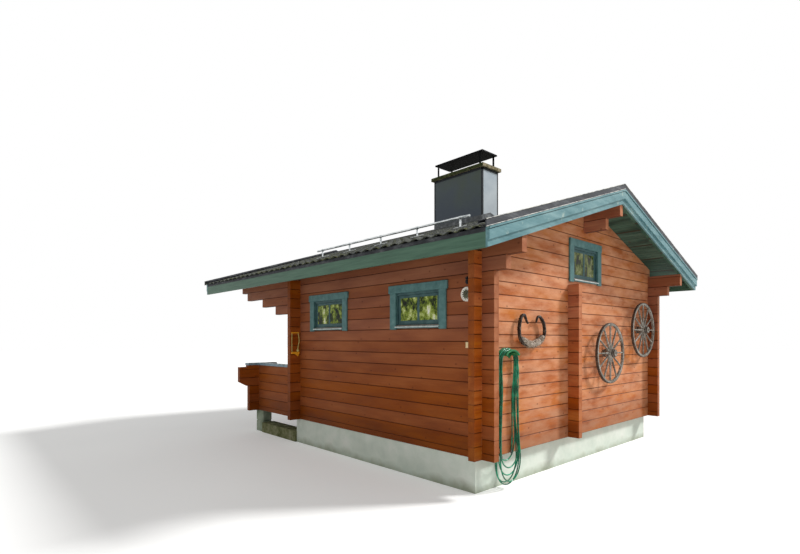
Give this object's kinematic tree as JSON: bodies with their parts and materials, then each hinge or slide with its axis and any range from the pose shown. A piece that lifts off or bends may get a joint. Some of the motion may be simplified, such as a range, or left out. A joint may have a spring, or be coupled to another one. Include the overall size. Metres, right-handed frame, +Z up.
{
  "type": "log boathouse cabin with porch",
  "caption": "Small lakeside cabin of planed logs with a gabled tile-sheet roof, a chimney, eave and gable windows and a roofed porch with log parapets.",
  "frame": {"origin": "under the middle of the whole building, at the foot of the plinth and piers", "axes": "+X along the ridge to the gable end away from the porch, +Y to the back eave wall, +Z up"},
  "size_m": [7.52, 6.71, 5.391],
  "materials": {
    "rendered_concrete": "painted render, matt",
    "cast_concrete": "rough cast concrete with moss",
    "concrete_block": "bare concrete block",
    "stained_logs": "planed pine log, red-brown stain",
    "cap_sheet": "light blue painted sheet cap",
    "floor_boards": "planed pine boards",
    "porch_boards": "weathered pine boards",
    "roof_timber": "sawn spruce",
    "soffit_boards": "dark green stained boards",
    "tile_sheet": "dark grey coated steel tile sheet, moss",
    "painted_boards": "weathered blue-green paint",
    "chimney_sheet": "dark grey coated steel sheet",
    "zinc_steel": "zinc coated tube",
    "window_paint": "blue-green paint",
    "window_glass": "clear window glass",
    "holder_plastic": "green moulded plastic",
    "hose_rubber": "green garden hose",
    "collar_wood": "weathered bent wood",
    "weathered_wood": "grey weathered wood",
    "dial_plastic": "white plastic",
    "yellow_paint": "yellow painted metal"
  },
  "bodies": {
    "root": {"plinth_front": "rendered_concrete", "plinth_back": "rendered_concrete", "plinth_gable": "rendered_concrete", "plinth_porch_side": "rendered_concrete", "porch_footings": "cast_concrete", "porch_piers": "concrete_block", "front_wall": "stained_logs", "back_wall": "stained_logs", "gable_wall": "stained_logs", "porch_side_wall": "stained_logs", "partition_log_ends": "stained_logs", "porch_sill_log": "stained_logs", "porch_parapets": "stained_logs", "porch_returns": "stained_logs", "parapet_caps": "cap_sheet", "room_floor": "floor_boards", "porch_floor": "porch_boards", "ridge_purlin": "stained_logs", "rafters": "roof_timber", "roof_deck_front": "soffit_boards", "roof_deck_back": "soffit_boards", "roof_sheet_front": "tile_sheet", "roof_sheet_back": "tile_sheet", "ridge_cap": "tile_sheet", "verge_flashings": "tile_sheet", "eave_fascias": "painted_boards", "barge_boards": "painted_boards", "chimney_casing": "chimney_sheet", "chimney_flashing": "zinc_steel", "chimney_slab": "cast_concrete", "chimney_hat": "chimney_sheet", "snow_rail": "zinc_steel", "window_casings": "window_paint", "window_sashes": "window_paint", "window_glass": "window_glass", "door_frame": "window_paint", "door_leaf": "window_paint", "hose_holder": "holder_plastic", "garden_hose": "hose_rubber", "horse_collar": "collar_wood", "wagon_wheels": "weathered_wood", "thermometer": "dial_plastic", "wall_fittings": "dial_plastic", "yellow_handle": "yellow_paint"}
  },
  "joints": []
}
